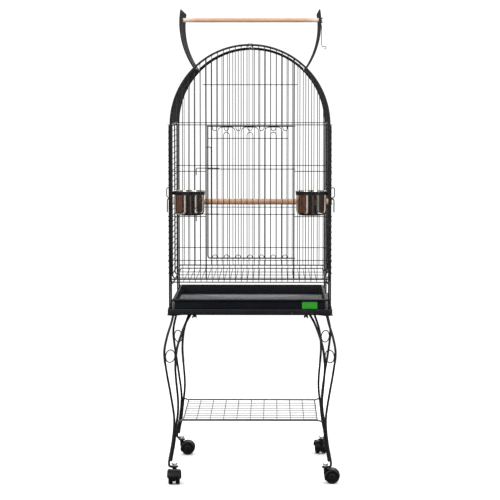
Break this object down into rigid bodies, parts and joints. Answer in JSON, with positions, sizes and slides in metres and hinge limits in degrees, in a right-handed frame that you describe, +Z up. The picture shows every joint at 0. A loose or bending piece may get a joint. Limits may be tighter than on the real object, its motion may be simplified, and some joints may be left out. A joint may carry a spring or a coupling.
{
  "type": "bird cage on stand",
  "caption": "Dome-top wire bird cage on a rolling stand, with opening roof hatches, front door, feeder doors with steel cups, perches, slide-out tray and grate, and a wire shelf.",
  "frame": {"origin": "on the floor under the middle of the cage", "axes": "+Z up, +X to the right seen from the front, the front door and tray face -Y"},
  "size_m": [0.5582, 0.575, 1.4986],
  "materials": {
    "black_wire": "satin black powder coat on wire",
    "black_frame": "satin black powder coat",
    "tray_plastic": "moulded blue-black plastic",
    "label": "plain green sticker",
    "wood": "smooth turned dowel",
    "cup_steel": "polished stainless steel",
    "zinc": "zinc-plated wire",
    "caster_plastic": "moulded black nylon",
    "shelf_wire": "grey coated wire"
  },
  "bodies": {
    "cage": {"base_frame": "black_frame", "front_panel": "black_wire", "back_panel": "black_wire", "left_side_panel": "black_wire", "right_side_panel": "black_wire", "roof_left": "black_wire", "roof_right": "black_wire", "ridge_clip_front": "zinc", "ridge_clip_back": "zinc", "inner_perch": "wood", "inner_perch_nut_left": "zinc", "inner_perch_nut_right": "zinc", "shelf": "shelf_wire", "leg_front_left": "black_frame", "leg_front_right": "black_frame", "leg_back_right": "black_frame", "leg_back_left": "black_frame", "leg_bolt_front_left": "black_frame", "leg_bolt_front_right": "black_frame", "leg_bolt_back_right": "black_frame", "leg_bolt_back_left": "black_frame", "caster_nut_front_left": "zinc", "caster_nut_front_right": "zinc", "caster_nut_back_right": "zinc", "caster_nut_back_left": "zinc"},
    "tray": {"tray": "tray_plastic", "tray_label": "label"},
    "grate": {"floor_grate": "black_wire"},
    "door": {"front_door": "black_wire"},
    "latch": {"door_latch": "black_wire"},
    "hatch_left": {"hatch_left": "black_wire"},
    "hatch_right": {"hatch_right": "black_wire"},
    "hook": {"hatch_hook": "zinc"},
    "top_perch": {"top_perch": "wood", "top_perch_nut_left": "zinc", "top_perch_nut_right": "zinc"},
    "feeder_left": {"feeder_door_left": "black_wire", "cup_band_left": "black_frame"},
    "cup_left": {"feeder_cup_left": "cup_steel"},
    "feeder_latch_left": {"feeder_latch_left": "zinc"},
    "feeder_right": {"feeder_door_right": "black_wire", "cup_band_right": "black_frame"},
    "cup_right": {"feeder_cup_right": "cup_steel"},
    "feeder_latch_right": {"feeder_latch_right": "zinc"},
    "caster_front_left": {"caster_hood_front_left": "caster_plastic"},
    "wheels_front_left": {"caster_wheels_front_left": "caster_plastic"},
    "caster_front_right": {"caster_hood_front_right": "caster_plastic"},
    "wheels_front_right": {"caster_wheels_front_right": "caster_plastic"},
    "caster_back_right": {"caster_hood_back_right": "caster_plastic"},
    "wheels_back_right": {"caster_wheels_back_right": "caster_plastic"},
    "caster_back_left": {"caster_hood_back_left": "caster_plastic"},
    "wheels_back_left": {"caster_wheels_back_left": "caster_plastic"}
  },
  "joints": [
    {"name": "tray_slide", "type": "slide", "parent": "cage", "child": "tray", "axis": [0, -1, 0], "range_m": [0, 0.42]},
    {"name": "grate_slide", "type": "slide", "parent": "cage", "child": "grate", "axis": [0, -1, 0], "range_m": [0, 0.44]},
    {"name": "door_hinge", "type": "hinge", "parent": "cage", "child": "door", "pos_m": [0.13762, -0.25102, 0.925], "axis": [0, 0, 1], "range_deg": [0, 120]},
    {"name": "latch_slide", "type": "slide", "parent": "door", "child": "latch", "axis": [1, 0, 0], "range_m": [0, 0.014]},
    {"name": "hatch_left_hinge", "type": "hinge", "parent": "cage", "child": "hatch_left", "pos_m": [-0.17678, 0, 1.31278], "axis": [0, 1, 0], "range_deg": [0, 80]},
    {"name": "hatch_right_hinge", "type": "hinge", "parent": "cage", "child": "hatch_right", "pos_m": [0.17678, 0, 1.31278], "axis": [0, -1, 0], "range_deg": [0, 80]},
    {"name": "hook_swing", "type": "hinge", "parent": "hatch_right", "child": "hook", "pos_m": [0.22485, -0.0367, 1.44961], "axis": [0, 1, 0], "range_deg": [-80, 20]},
    {"name": "top_perch_lift", "type": "slide", "parent": "cage", "child": "top_perch", "axis": [0, 0, 1], "range_m": [0, 0.15]},
    {"name": "feeder_left_hinge", "type": "hinge", "parent": "cage", "child": "feeder_left", "pos_m": [-0.25302, -0.22937, 0.896], "axis": [0, 0, 1], "range_deg": [0, 100]},
    {"name": "cup_left_lift", "type": "slide", "parent": "feeder_left", "child": "cup_left", "axis": [0, 0, 1], "range_m": [0, 0.1]},
    {"name": "feeder_latch_left_turn", "type": "hinge", "parent": "cage", "child": "feeder_latch_left", "pos_m": [-0.259, -0.07658, 0.899], "axis": [-1, 0, 0], "range_deg": [0, 90]},
    {"name": "feeder_right_hinge", "type": "hinge", "parent": "cage", "child": "feeder_right", "pos_m": [0.25302, -0.22937, 0.896], "axis": [0, 0, -1], "range_deg": [0, 100]},
    {"name": "cup_right_lift", "type": "slide", "parent": "feeder_right", "child": "cup_right", "axis": [0, 0, 1], "range_m": [0, 0.1]},
    {"name": "feeder_latch_right_turn", "type": "hinge", "parent": "cage", "child": "feeder_latch_right", "pos_m": [0.259, -0.07658, 0.899], "axis": [-1, 0, 0], "range_deg": [0, 90]},
    {"name": "caster_front_left_swivel", "type": "hinge", "parent": "cage", "child": "caster_front_left", "pos_m": [-0.24, -0.24, 0.05], "axis": [0, 0, 1], "continuous": true},
    {"name": "wheels_front_left_spin", "type": "hinge", "parent": "caster_front_left", "child": "wheels_front_left", "pos_m": [-0.24, -0.261, 0.0225], "axis": [1, 0, 0], "continuous": true},
    {"name": "caster_front_right_swivel", "type": "hinge", "parent": "cage", "child": "caster_front_right", "pos_m": [0.24, -0.24, 0.05], "axis": [0, 0, 1], "continuous": true},
    {"name": "wheels_front_right_spin", "type": "hinge", "parent": "caster_front_right", "child": "wheels_front_right", "pos_m": [0.261, -0.24, 0.0225], "axis": [0, 1, 0], "continuous": true},
    {"name": "caster_back_right_swivel", "type": "hinge", "parent": "cage", "child": "caster_back_right", "pos_m": [0.24, 0.24, 0.05], "axis": [0, 0, 1], "continuous": true},
    {"name": "wheels_back_right_spin", "type": "hinge", "parent": "caster_back_right", "child": "wheels_back_right", "pos_m": [0.23708, 0.2608, 0.0225], "axis": [-0.9903, -0.1392, 0], "continuous": true},
    {"name": "caster_back_left_swivel", "type": "hinge", "parent": "cage", "child": "caster_back_left", "pos_m": [-0.24, 0.24, 0.05], "axis": [0, 0, 1], "continuous": true},
    {"name": "wheels_back_left_spin", "type": "hinge", "parent": "caster_back_left", "child": "wheels_back_left", "pos_m": [-0.219, 0.24, 0.0225], "axis": [0, 1, 0], "continuous": true}
  ]
}
